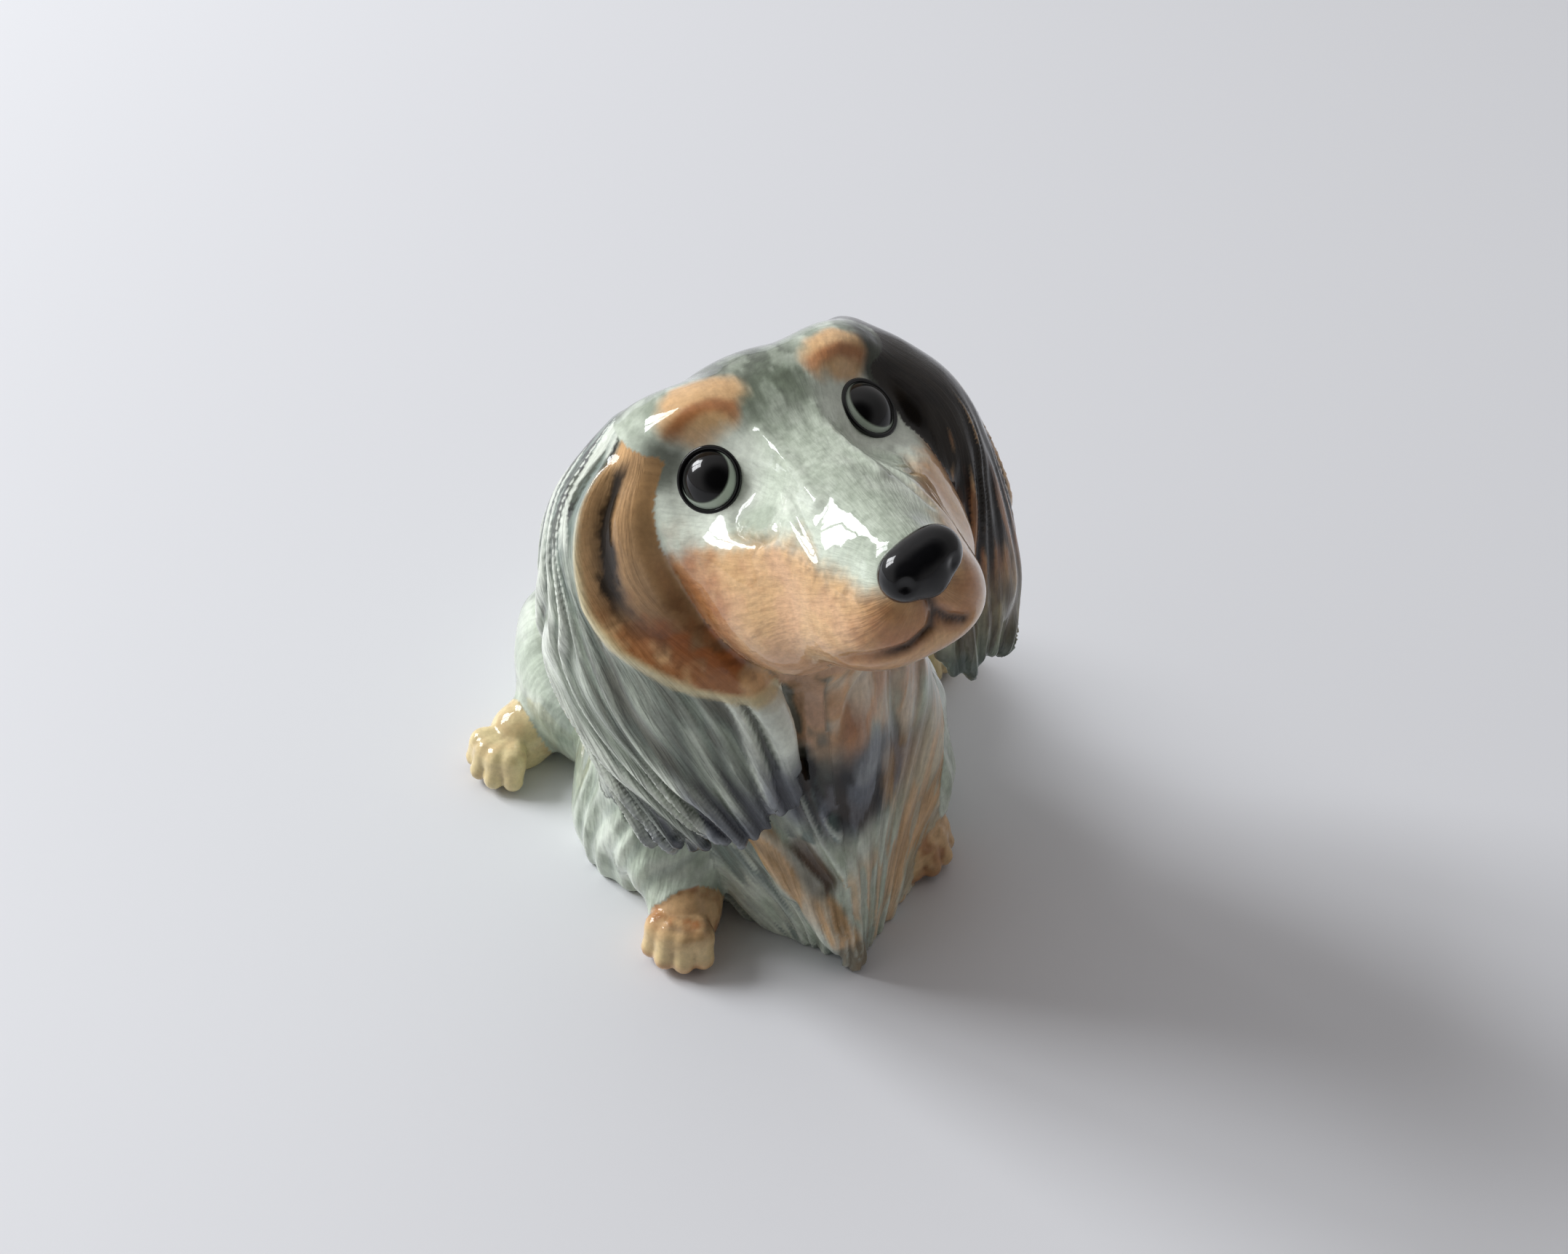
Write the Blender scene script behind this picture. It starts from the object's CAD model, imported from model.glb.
import math

import bpy
import numpy as np
from mathutils import Matrix, Vector, kdtree


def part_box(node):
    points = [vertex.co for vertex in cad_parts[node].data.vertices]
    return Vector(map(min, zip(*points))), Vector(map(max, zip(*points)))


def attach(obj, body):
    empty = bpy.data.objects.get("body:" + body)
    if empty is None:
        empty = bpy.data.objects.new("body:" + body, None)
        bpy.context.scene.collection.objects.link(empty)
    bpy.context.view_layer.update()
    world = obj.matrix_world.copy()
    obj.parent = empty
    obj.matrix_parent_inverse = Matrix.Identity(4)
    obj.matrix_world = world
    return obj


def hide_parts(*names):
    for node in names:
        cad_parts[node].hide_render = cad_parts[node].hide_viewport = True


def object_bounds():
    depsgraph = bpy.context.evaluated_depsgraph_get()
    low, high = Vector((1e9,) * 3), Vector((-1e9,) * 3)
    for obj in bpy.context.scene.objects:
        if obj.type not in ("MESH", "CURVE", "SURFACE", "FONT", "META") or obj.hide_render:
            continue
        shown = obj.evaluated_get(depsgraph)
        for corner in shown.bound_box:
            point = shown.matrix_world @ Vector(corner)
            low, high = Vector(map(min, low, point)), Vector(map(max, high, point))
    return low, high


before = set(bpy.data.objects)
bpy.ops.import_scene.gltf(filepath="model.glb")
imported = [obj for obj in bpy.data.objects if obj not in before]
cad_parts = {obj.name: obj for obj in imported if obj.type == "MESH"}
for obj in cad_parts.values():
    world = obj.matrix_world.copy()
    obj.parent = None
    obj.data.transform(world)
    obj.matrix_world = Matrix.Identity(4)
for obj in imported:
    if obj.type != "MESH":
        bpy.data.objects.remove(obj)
cad_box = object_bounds()

# The figurine is sculpted as one lump of clay, in a field that holds the distance to its
# surface. The field becomes a mesh, hair is pressed into it, colours are brushed on, and it is
# then divided into the pieces that the CAD model has, each closed and with the same surface.
# Lengths in this script are millimetres of the figurine unless a name says otherwise.

# ---- places that the CAD model gives ----
EYEBALL = np.array([5.6, 0.98, -0.56])      # middle of the left eyeball in the head's own axes
NOSE_PAD = np.array([0.0, -19.0, -4.6])     # middle of the nose in the head's own axes
EYE_RADIUS = 2.5

# ---- how finely the clay is worked ----
CLAY_STEP = 0.25     # the grid of the body's field
NOSE_STEP = 0.16
FAR = 4.0                                   # distances beyond this aren't kept
SMALLEST_ISLAND = 400                       # faces; smaller islands join the piece round them
WALL = 0.8                                  # how far a piece's cut edge is turned inwards


def node_centre(node):
    low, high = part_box(node)
    return np.array((low + high) / 2)


def unit(vector):
    vector = np.asarray(vector, float)
    return vector / np.linalg.norm(vector)


left_eye_at = node_centre("left_eye")
right_eye_at = node_centre("right_eye")
MM = np.linalg.norm(left_eye_at - right_eye_at) / (2 * EYEBALL[0])    # metres in one millimetre
head_x = unit(left_eye_at - right_eye_at)
eyes_middle = (left_eye_at + right_eye_at) / 2
muzzle_way = unit(node_centre("nose") - eyes_middle)
forward, droop = unit((EYEBALL * [0, 1, 1] - NOSE_PAD)[1:])
head_y = unit(droop * np.cross(head_x, muzzle_way) - forward * muzzle_way)
head_z = np.cross(head_x, head_y)
head_origin = eyes_middle - MM * (EYEBALL[1] * head_y + EYEBALL[2] * head_z)
floor_origin = np.array([head_origin[0], head_origin[1], cad_box[0][2]])
EYES_UP = (head_origin[2] - floor_origin[2]) / MM


def to_metres(points):
    return floor_origin + np.asarray(points) * MM


def from_metres(point):
    return (np.array(point) - floor_origin) / MM


def box_mm(node):
    low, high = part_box(node)
    return from_metres(low), from_metres(high)


class Place:
    """A set of axes in the figurine: shapes are given in it and measured from it."""

    def __init__(self, origin=(0, 0, 0), axes=np.eye(3)):
        self.origin = np.asarray(origin, np.float32)
        self.axes = np.asarray(axes, np.float32)       # rows are the place's x, y and z

    def local(self, points):
        return (points - self.origin) @ self.axes.T

    def world(self, points):
        return np.asarray(points, np.float32) @ self.axes + self.origin

    def moved(self, centre, turn=(0, 0, 0)):
        spin = np.array(Matrix.Rotation(math.radians(turn[2]), 3, "Z")
                        @ Matrix.Rotation(math.radians(turn[1]), 3, "Y")
                        @ Matrix.Rotation(math.radians(turn[0]), 3, "X"))
        return Place(self.world(centre), spin.T @ self.axes)


BODY = Place()
HEAD = Place((0, 0, EYES_UP), [head_x, head_y, head_z])


# ---- small mathematics ----
def fade(low, high, value):
    """0 for a value at low, rising smoothly to 1 for a value at high. Low may be the larger."""
    t = np.clip((value - low) / (high - low), 0, 1)
    return t * t * (3 - 2 * t)


def columns(*values):
    return np.stack(np.broadcast_arrays(*values), -1)


def bell(value, width):
    """1 where the value is 0, falling away to nothing on both sides."""
    return np.exp(-(value / width) ** 2)


def blend_min(a, b, width):
    """The smaller of two distances, with the corner between them rounded over a width."""
    h = np.clip(0.5 + 0.5 * (b - a) / width, 0, 1)
    return b + (a - b) * h - width * h * (1 - h)


def blend_max(a, b, width):
    return -blend_min(-a, -b, width)


def curve_through(knots, values, at):
    """A smooth curve through values at increasing knots, level beyond both ends."""
    knots = np.asarray(knots, np.float32)
    values = np.asarray(values, np.float32)
    slopes = np.gradient(values, knots)
    at = np.clip(at, knots[0], knots[-1])
    i = np.clip(np.searchsorted(knots, at, side="right") - 1, 0, len(knots) - 2)
    span = knots[i + 1] - knots[i]
    t = (at - knots[i]) / span
    rise = values[i + 1] - values[i]
    start = slopes[i] * span
    end = slopes[i + 1] * span
    bend = t * t * (3 * rise - 2 * start - end) + t ** 3 * (start + end - 2 * rise)
    return values[i] + t * start + bend


def lattice(cell, seed):
    x, y, z = (cell[..., k].astype(np.int64) for k in range(3))
    h = (x * 374761393 + y * 668265263 + z * 974634777 + seed * 1274126177) & 0xFFFFFFFF
    h = ((h ^ (h >> 13)) * 1274126177) & 0xFFFFFFFF
    return (((h ^ (h >> 16)) & 0xFFFF) / 65535.0).astype(np.float32)


def noise(points, seed):
    """Smooth noise from 0 to 1 that changes over a distance of one."""
    cell = np.floor(points)
    f = points - cell
    f = f * f * f * (f * (f * 6 - 15) + 10)
    total = 0
    for corner in np.ndindex(2, 2, 2):
        weight = 1
        for k in range(3):
            weight = weight * (f[..., k] if corner[k] else 1 - f[..., k])
        total = total + weight * lattice(cell + corner, seed)
    return total


def layered_noise(points, seed):
    """Three layers of noise, each twice as fine and half as strong as the one before."""
    layers = [noise(points * 2.0 ** k, seed + k) * 0.5 ** k for k in range(3)]
    return sum(layers) / 1.75


def strands(across, along, seed):
    """Hair side by side: up to 1 on the ridge of a strand and 0 in the hollow between two."""
    bend = noise(columns(across * 0.3, along * 0.6, 0), seed) - 0.5
    ripple = noise(columns(across * 0.8, along * 1.3, 0), seed + 3) - 0.5
    wave = across + 0.3 * np.sin(1.7 * across + 1) + 0.12 * np.sin(4.1 * across + 4)
    wave = wave + 2.6 * bend + 0.8 * ripple
    ridge = 0.5 + 0.5 * np.cos(2 * math.pi * wave)
    patchy = noise(columns(wave * 0.9, along * 0.9, 0), seed + 7)
    return ridge * (0.3 + 0.7 * fade(0.25, 0.7, patchy))


# ---- shapes: each measures the distance from points to its surface ----
class Ball:
    def __init__(self, place, centre, radii, turn=(0, 0, 0)):
        self.place = place.moved(centre, turn)
        self.radii = np.asarray(radii, np.float32) * np.ones(3, np.float32)
        reach = self.radii.max()
        self.low = self.place.origin - reach
        self.high = self.place.origin + reach

    def __call__(self, points):
        local = self.place.local(points)
        k0 = np.linalg.norm(local / self.radii, axis=-1)
        k1 = np.linalg.norm(local / self.radii ** 2, axis=-1)
        return k0 * (k0 - 1) / np.maximum(k1, 1e-6)


class Limb:
    """A rounded stick through stations, each (centre, radius), that may be squashed."""

    def __init__(self, place, stations, flatten=(1, 1, 1)):
        self.centres = [place.world(centre) for centre, radius in stations]
        self.radii = [radius for centre, radius in stations]
        self.flatten = np.asarray(flatten, np.float32)
        reach = max(self.radii)
        self.low = np.min(self.centres, 0) - reach
        self.high = np.max(self.centres, 0) + reach

    def __call__(self, points):
        best = None
        for i in range(len(self.centres) - 1):
            start = self.centres[i]
            run = self.centres[i + 1] - start
            offset = points - start
            t = np.clip((offset @ run) / (run @ run), 0, 1)
            gap = (offset - t[..., None] * run) / self.flatten
            near = np.linalg.norm(gap, axis=-1) - (self.radii[i] * (1 - t) + self.radii[i + 1] * t)
            best = near if best is None else blend_min(best, near, 1.0)
        return best


class Muzzle:
    """Ovals along the head's y axis: each station is (y, middle z, half width, half height)."""

    def __init__(self, place, stations):
        self.place = place
        self.y, self.middle, self.width, self.height = np.array(stations, np.float32).T
        reach = self.width.max()
        ends = place.world([(0, self.y[0], self.middle[0]), (0, self.y[-1], self.middle[-1])])
        self.low = ends.min(0) - reach
        self.high = ends.max(0) + reach

    def __call__(self, points):
        x, y, z = np.moveaxis(self.place.local(points), -1, 0)
        width = curve_through(self.y, self.width, y)
        height = curve_through(self.y, self.height, y)
        middle = curve_through(self.y, self.middle, y)
        radial = np.sqrt((x / width) ** 2 + ((z - middle) / height) ** 2) - 1
        beyond = np.maximum(self.y[0] - y, y - self.y[-1])
        side = radial * np.minimum(width, height)
        cap = np.minimum(width, height)
        outside = np.sqrt(np.maximum(side + cap, 0) ** 2 + np.maximum(beyond + cap, 0) ** 2) - cap
        return np.where(beyond > -cap, outside, side)


class Sheet:
    """A hanging leaf of clay, laid down as overlapping dabs. Each station across it is three
    points, front edge, middle and rear edge, and the stations run from its root to its tip.
    A place on it is u, from 0 at the front edge to 1 at the rear, and v, which counts stations."""

    def __init__(self, stations, thickness, scallops):
        table = np.array(stations, np.float32)
        self.last = len(stations) - 1
        self.rows = [table[:, k] for k in range(3)]
        dabs = []
        for v in np.arange(0, self.last + 0.001, 0.045):
            for u in np.arange(0, 1.001, 0.028):
                dabs.append((u, v))
        u, v = np.array(dabs, np.float32).T
        wave = 0.5 + 0.5 * np.cos(2 * math.pi * (u * scallops + 0.35 * np.sin(u * 9.0)))
        keep = v <= self.last * (1 - 0.06 * wave ** 2)
        self.u = u[keep]
        self.v = v[keep]
        self.centres = self.at(self.u, self.v)
        thin = fade(self.last, self.last - 1.2, self.v) * fade(1.0, 0.8, self.u)
        self.radii = thickness / 2 * (0.55 + 0.45 * thin)
        self.tree = kdtree.KDTree(len(self.centres))
        for i, centre in enumerate(self.centres):
            self.tree.insert(centre, i)
        self.tree.balance()

    def at(self, u, v):
        steps = np.arange(self.last + 1)
        front, middle, rear = (
            np.stack([curve_through(steps, row[:, k], v) for k in range(3)], -1) for row in self.rows)
        u = u[..., None]
        return front * (1 - u) * (1 - 2 * u) + middle * 4 * u * (1 - u) + rear * u * (2 * u - 1)

    def lay(self, clay, blend):
        field = np.full(clay.size, FAR, np.float32)
        for centre, radius in zip(self.centres, self.radii):
            part, points = clay.window_at(centre - radius - 1.6, centre + radius + 1.6)
            gap = np.linalg.norm(points - centre, axis=-1) - radius
            field[part] = np.minimum(field[part], gap)
        clay.values = blend_min(clay.values, field, blend)

    def place_of(self, points):
        """The u, v and gap to the sheet for each point: those of the nearest dab, and then u and
        v are moved to where the sheet itself is nearest."""
        near = np.array([self.tree.find(point)[1] for point in points])
        gap = np.linalg.norm(points - self.centres[near], axis=1) - self.radii[near]
        u, v = self.u[near], self.v[near]
        ahead = 0.01
        for _ in range(4):
            offset = points - self.at(u, v)
            a = (self.at(u + ahead, v) - self.at(u - ahead, v)) / (2 * ahead)
            b = (self.at(u, v + ahead) - self.at(u, v - ahead)) / (2 * ahead)
            aa, ab, bb = (a * a).sum(1), (a * b).sum(1), (b * b).sum(1)
            pa, pb = (offset * a).sum(1), (offset * b).sum(1)
            det = np.maximum(aa * bb - ab * ab, 1e-3)
            u = np.clip(u + np.clip((pa * bb - pb * ab) / det, -0.03, 0.03), 0, 1)
            v = np.clip(v + np.clip((pb * aa - pa * ab) / det, -0.05, 0.05), 0.02, self.last - 0.02)
        return u, v, gap

    def __call__(self, points):
        return self.place_of(points)[2]


class Prow:
    """A chest that comes forward to an upright edge. Each level is its height, and then the
    level position of the edge and of the two places where its sides end."""

    def __init__(self, levels, back):
        self.z = [level[0] for level in levels]
        self.corners = [np.array([level[k] for level in levels], np.float32) for k in (1, 2, 3)]
        self.back = back
        everything = np.concatenate(self.corners)
        self.low = np.array([*everything.min(0), self.z[0]], np.float32)
        self.high = np.array([everything[:, 0].max(), back, self.z[-1]], np.float32)

    def at(self, z):
        """The edge, the right end and the left end of the chest at the heights."""
        return [np.stack([curve_through(self.z, corner[:, k], z) for k in range(2)], -1)
                for corner in self.corners]

    def __call__(self, points):
        z = points[..., 2]
        edge, right, left = self.at(z)
        offset = points[..., :2] - edge
        rounding = np.interp(z, (0, self.z[-1]), (1.2, 6.0))
        faces = []
        for side, end in ((-1, right), (1, left)):
            run = end - edge
            run = run / np.linalg.norm(run, axis=-1)[..., None]
            faces.append(side * (offset[..., 0] * run[..., 1] - offset[..., 1] * run[..., 0]))
        d = blend_max(faces[0], faces[1], rounding)
        d = blend_max(d, right[..., 0] - points[..., 0], 2.0)
        d = blend_max(d, points[..., 0] - left[..., 0], 2.0)
        d = np.maximum(d, points[..., 1] - self.back)
        return blend_max(d, z - self.z[-1], 3.0)


class Clay:
    """The lump: distances on a grid of points, negative inside the clay."""

    def __init__(self, low, high, step):
        self.low = np.asarray(low, np.float32)
        self.step = step
        self.size = np.ceil((np.asarray(high) - self.low) / step).astype(int) + 1
        self.values = np.full(self.size, FAR, np.float32)

    def window_at(self, low, high):
        first = np.floor((low - self.low) / self.step).astype(int)
        last = np.ceil((high - self.low) / self.step).astype(int)
        first = np.clip(first, 0, self.size)
        last = np.clip(last, 0, self.size)
        part = tuple(slice(a, b) for a, b in zip(first, last))
        axes = [np.arange(a, b, dtype=np.float32) for a, b in zip(first, last)]
        points = np.stack(np.meshgrid(*axes, indexing="ij"), -1) * self.step + self.low
        return part, points.astype(np.float32)

    def add(self, shape, blend):
        if isinstance(shape, Sheet):
            shape.lay(self, blend)
            return
        part, points = self.window_at(shape.low - blend - 2.5, shape.high + blend + 2.5)
        self.values[part] = blend_min(self.values[part], np.minimum(shape(points), FAR), blend)

    def carve(self, shape, blend):
        part, points = self.window_at(shape.low - blend - 1.0, shape.high + blend + 1.0)
        self.values[part] = blend_max(self.values[part], -shape(points), blend)

    def level_floor(self, rounding):
        z = np.arange(self.size[2], dtype=np.float32) * self.step + self.low[2]
        self.values = blend_max(self.values, np.broadcast_to(-z, self.values.shape), rounding)


def surface_net(clay):
    """The clay's surface as points and four-sided faces: one point in each cell it crosses."""
    values = clay.values
    inside = values < 0
    cells = [n - 1 for n in values.shape]

    def corner(array, offset):
        return array[tuple(slice(o, o + n) for o, n in zip(offset, cells))]

    corners = list(np.ndindex(2, 2, 2))
    count = sum(corner(inside, offset).astype(np.int8) for offset in corners)
    crossed = np.argwhere((count > 0) & (count < 8))
    index = np.full(cells, -1, np.int64)
    index[tuple(crossed.T)] = np.arange(len(crossed))
    total = np.zeros((len(crossed), 3))
    hits = np.zeros(len(crossed))
    for offset in corners:
        for axis in range(3):
            if offset[axis]:
                continue
            other = list(offset)
            other[axis] = 1
            a = values[tuple((crossed + offset).T)]
            b = values[tuple((crossed + other).T)]
            cut = (a < 0) != (b < 0)
            at = np.array(offset) + np.zeros((len(crossed), 3))
            at[:, axis] += np.where(cut, a / np.where(cut, a - b, 1), 0)
            total += at * cut[:, None]
            hits += cut
    points = (crossed + total / hits[:, None]) * clay.step + clay.low
    faces = []
    for axis in range(3):
        ahead = [0, 0, 0]
        ahead[axis] = 1
        a = inside[tuple(slice(0, n - o) for n, o in zip(values.shape, ahead))]
        b = inside[tuple(slice(o, n) for n, o in zip(values.shape, ahead))]
        where = np.argwhere(a != b)
        others = [k for k in range(3) if k != axis]
        ring = []
        for d1, d2 in ((1, 1), (0, 1), (0, 0), (1, 0)):
            cell = where.copy()
            cell[:, others[0]] -= d1
            cell[:, others[1]] -= d2
            ring.append(index[tuple(cell.T)])
        quads = np.stack(ring, -1)
        flip = a[tuple(where.T)] == (axis == 1)
        quads[flip] = quads[flip][:, ::-1]
        faces.append(quads)
    return points, np.concatenate(faces)


def face_edges(faces):
    """The two ends of each side of each four-sided face."""
    return np.concatenate([faces[:, [k, (k + 1) % 4]] for k in range(4)])


def neighbours_mean(values, edges):
    """The mean over each point's neighbours of a value, or of a row of values."""
    if values.ndim > 1:
        return np.stack([neighbours_mean(column, edges) for column in values.T], -1)
    total = np.bincount(edges[:, 0], values[edges[:, 1]], len(values))
    return total / np.bincount(edges[:, 0], minlength=len(values))


def relaxed(points, faces, rounds):
    """Smooths out the steps of the grid: a pull to the neighbours and then most of it back."""
    edges = face_edges(faces)
    for strength in (0.6, -0.55) * rounds:
        points = points + strength * (neighbours_mean(points, edges) - points)
    return points


def spread_out(values, faces, rounds):
    """Each point's values averaged with its neighbours', a number of times."""
    edges = face_edges(faces)
    for _ in range(rounds):
        values = (values + neighbours_mean(values, edges)) / 2
    return values


def surface_normals(points, faces):
    a, b, c, d = (points[faces[:, k]] for k in range(4))
    face_normals = np.cross(c - a, d - b)
    normals = np.zeros_like(points)
    for k in range(4):
        for axis in range(3):
            normals[:, axis] += np.bincount(faces[:, k], face_normals[:, axis], len(points))
    return normals / np.maximum(np.linalg.norm(normals, axis=1), 1e-9)[:, None]


# ---- the dog's shapes ----
SIDES = {"left": 1, "right": -1}


def mirrored(side, triple):
    return (side * triple[0], triple[1], triple[2])


def eye_place(side):
    """Axes at an eyeball, with z out of the eye through the pupil."""
    out = unit((side * 0.5, -0.75, 0.43))
    x = unit(np.cross((0, 0, 1), out))
    axes = np.array([x, np.cross(out, x), out])
    return Place(HEAD.world(mirrored(side, EYEBALL)), axes @ HEAD.axes)


def head_shapes():
    """The skull, the muzzle, its bridge, a fuller right temple, and on each side the cheek, the
    jowl, the lip, the brow and the root of the ear."""
    shapes = [
        (Ball(HEAD, (0, 6.4, -1.8), (10.4, 9.6, 7.6)), 1.0),
        (Muzzle(HEAD, [
            (-16.4, -7.4, 4.5, 3.9),
            (-13.0, -7.1, 5.2, 4.6),
            (-9.0, -6.5, 6.0, 5.5),
            (-5.0, -6.0, 7.0, 6.3),
            (0.0, -5.4, 8.6, 7.2),
            (4.0, -5.0, 9.4, 7.8),
        ]), 1.5),
        (Limb(HEAD, [((0, 0.0, -2.0), 4.0), ((0, -8.0, -3.7), 3.2), ((0, -16.0, -5.8), 2.7)]), 1.0),
        (Ball(HEAD, (-6.8, 3.4, -3.2), (4.3, 5.0, 5.0)), 2.0),
    ]
    for side in SIDES.values():
        shapes += [
            (Ball(HEAD, mirrored(side, (6.0, 1.6, -7.4)), (4.2, 6.4, 5.8)), 2.0),
            (Ball(HEAD, mirrored(side, (4.6, -2.6, -9.6)), (4.6, 6.2, 5.2)), 2.0),
            (Ball(HEAD, mirrored(side, (1.9, -15.2, -8.2)), (2.6, 3.0, 2.7)), 2.0),
            (Ball(HEAD, mirrored(side, (4.9, 3.4, 3.0)), (3.3, 3.4, 2.5)), 2.2),
            (Ball(HEAD, mirrored(side, (7.2, 6.4, 2.0)), (3.5, 4.2, 3.3)), 2.4),
        ]
    return shapes


def jaw_shapes():
    shapes = [(Ball(HEAD, (0, -12.4, -10.2), (3.4, 4.4, 2.6)), 1.6)]
    for side in SIDES.values():
        shapes.append((Ball(HEAD, mirrored(side, (2.6, -7.6, -9.8)), (3.8, 8.6, 3.4)), 2.0))
    return shapes


def nose_shapes():
    tilted = HEAD.moved(NOSE_PAD + (0.1, 0.2, -0.5), (-10, -13, 0))
    shapes = [(Ball(tilted, (0, 0.1, 0.1), (2.6, 1.6, 1.85)), 0.5)]
    for side in SIDES.values():
        shapes.append((Ball(tilted, (side * 1.35, 0.1, 0.1), (1.5, 1.5, 1.6)), 0.6))
    shapes.append((Ball(tilted, (0, 0.2, -1.0), (1.3, 1.2, 1.2)), 0.6))
    return shapes


def neck_shapes():
    return [
        (Ball(BODY, (0, 5.0, 30.0), (9.6, 9.2, 13.0), (-14, 0, 0)), 2.0),
        (Ball(BODY, (0.3, -1.5, 31.0), (7.6, 6.4, 7.0)), 2.0),
    ]


def torso_shapes():
    rump_y = box_mm("torso")[1][1] - 13.0
    return [
        (Ball(BODY, (0, 8.5, 12.0), (14.0, 12.5, 17.0), (-8, 0, 0)), 3.0),
        (Ball(BODY, (-7.4, 7.0, 4.0), (9.4, 9.0, 12.5)), 3.0),
        (Ball(BODY, (7.4, 7.0, 4.0), (9.0, 9.0, 12.0)), 3.0),
        (Ball(BODY, (0, rump_y, 8.5), (14.5, 13.0, 11.5)), 4.0),
    ]


CHEST = Prow([
    (-2.0, (1.3, -12.9), (-6.0, -4.6), (11.0, -4.8)),
    (4.0, (1.2, -12.5), (-7.6, -3.6), (12.4, -3.8)),
    (10.0, (0.9, -11.4), (-8.8, -2.6), (12.9, -2.6)),
    (17.0, (0.7, -9.6), (-9.4, -1.2), (12.9, -1.2)),
    (25.0, (0.4, -8.0), (-8.4, 0.5), (10.8, 0.5)),
    (33.0, (0.4, -6.6), (-6.4, 2.0), (8.0, 2.0)),
], 4.0)


def chest_shapes():
    lock = [
        ((-5.4, -5.8, 12.5), 1.0),
        ((-2.4, -8.6, 7.6), 1.3),
        ((0.0, -11.2, 4.0), 1.3),
        ((1.2, -12.4, 0.8), 1.0),
    ]
    return [(CHEST, 1.6), (Limb(BODY, lock), 1.0)]


def box_middle(node):
    low, high = box_mm(node)
    return (low + high) / 2


def foreleg_shapes(name):
    side = SIDES[name]
    paw_x, paw_y, _ = box_middle(name + "_forepaw")
    return [(Limb(BODY, [
        ((side * 10.0, 3.0, 12.0), 5.0),
        ((side * 10.6, 0.6, 6.4), 4.3),
        ((paw_x, paw_y + 1.4, 2.8), 3.0),
    ]), 1.6)]


def paw_shapes(name, reach, spread, shift=(0, 0, 0)):
    """A paw in the box of its CAD node: a pad with four toes and the hollows between them."""
    side = SIDES[name.split("_")[0]]
    centre = box_middle(name) + shift
    height = box_mm(name)[1][2]
    turn = math.radians(spread) * side
    shapes = [(Ball(BODY, (centre[0], centre[1] + 0.6, height * 0.34), (2.7, 2.9, height * 0.6)), 1.0)]
    for slot in (-1.5, -0.5, 0.5, 1.5):
        angle = turn + math.radians(24) * slot
        toe_way = np.array([math.sin(angle), -math.cos(angle), 0])
        tip = centre + toe_way * (reach - 0.2 * abs(slot))
        tip[2] = 1.2
        knuckle = centre + toe_way * (reach - 1.2)
        knuckle[2] = height * 0.52
        root = centre + toe_way * 0.6
        root[2] = height * 0.62
        shapes.append((Limb(BODY, [(root, 0.8), (knuckle, 1.05), (tip, 0.95)]), 0.2))
    return shapes


def thigh_shapes(name):
    side = SIDES[name]
    paw_x, paw_y, _ = box_middle(name + "_hind_paw")
    shin = [((side * 13.0, paw_y + 3.0, 4.4), 4.2), ((paw_x - side * 1.2, paw_y + 0.8, 2.6), 2.6)]
    return [
        (Ball(BODY, (side * 11.6, paw_y + 2.2, 6.8), (6.2, 9.4, 8.4), (15, 0, 0)), 2.2),
        (Limb(BODY, shin), 1.6),
    ]


def tail_shapes():
    tip_x, rear_y, _ = box_mm("tail")[1]
    return [(Limb(BODY, [
        ((0.0, rear_y - 11.0, 7.0), 4.0),
        ((1.6, rear_y - 6.4, 4.6), 3.6),
        ((5.0, rear_y - 3.6, 3.0), 3.0),
        ((9.5, rear_y - 3.2, 2.3), 2.4),
        ((tip_x - 1.8, rear_y - 4.6, 1.5), 1.3),
    ]), 1.6)]


RIGHT_EAR = Sheet([
    ((-8.6, 3.4, 42.2), (-10.0, 6.2, 41.8), (-8.6, 10.2, 40.8)),
    ((-10.9, 0.9, 39.4), (-14.0, 4.6, 38.2), (-13.7, 10.0, 36.8)),
    ((-10.0, -2.0, 34.4), (-15.2, 2.8, 31.9), (-15.7, 10.5, 29.5)),
    ((-5.4, -6.9, 28.2), (-13.8, -1.7, 24.2), (-16.2, 8.5, 20.0)),
    ((-1.9, -8.6, 17.6), (-8.9, -7.2, 12.4), (-13.4, 0.6, 9.6)),
], 2.7, 5)

LEFT_EAR = Sheet([
    ((5.8, 5.2, 45.4), (8.0, 8.2, 45.7), (7.2, 11.5, 44.4)),
    ((9.8, 2.0, 43.2), (13.5, 4.8, 42.4), (13.0, 10.0, 40.6)),
    ((10.9, -1.4, 37.5), (16.2, 1.5, 36.0), (15.6, 9.5, 33.5)),
    ((11.4, -3.4, 29.5), (17.6, -1.0, 27.8), (16.0, 7.5, 26.0)),
    ((11.0, -4.4, 22.4), (16.9, -2.8, 20.8), (15.0, 4.0, 19.2)),
], 2.7, 3)
EARS = {"left": LEFT_EAR, "right": RIGHT_EAR}
EAR_PLACES = {}      # for each ear, the u, v and gap of every point of the surface, once it is made
EAR_ROLL = [((-9.0, 2.6, 38.0), 2.6), ((-8.6, -0.6, 32.6), 2.8), ((-5.4, -4.6, 28.0), 2.6)]
CHEST_RECESS = [(-2.6, -9.4, 11.6), (-0.9, -10.6, 8.4)]

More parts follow.
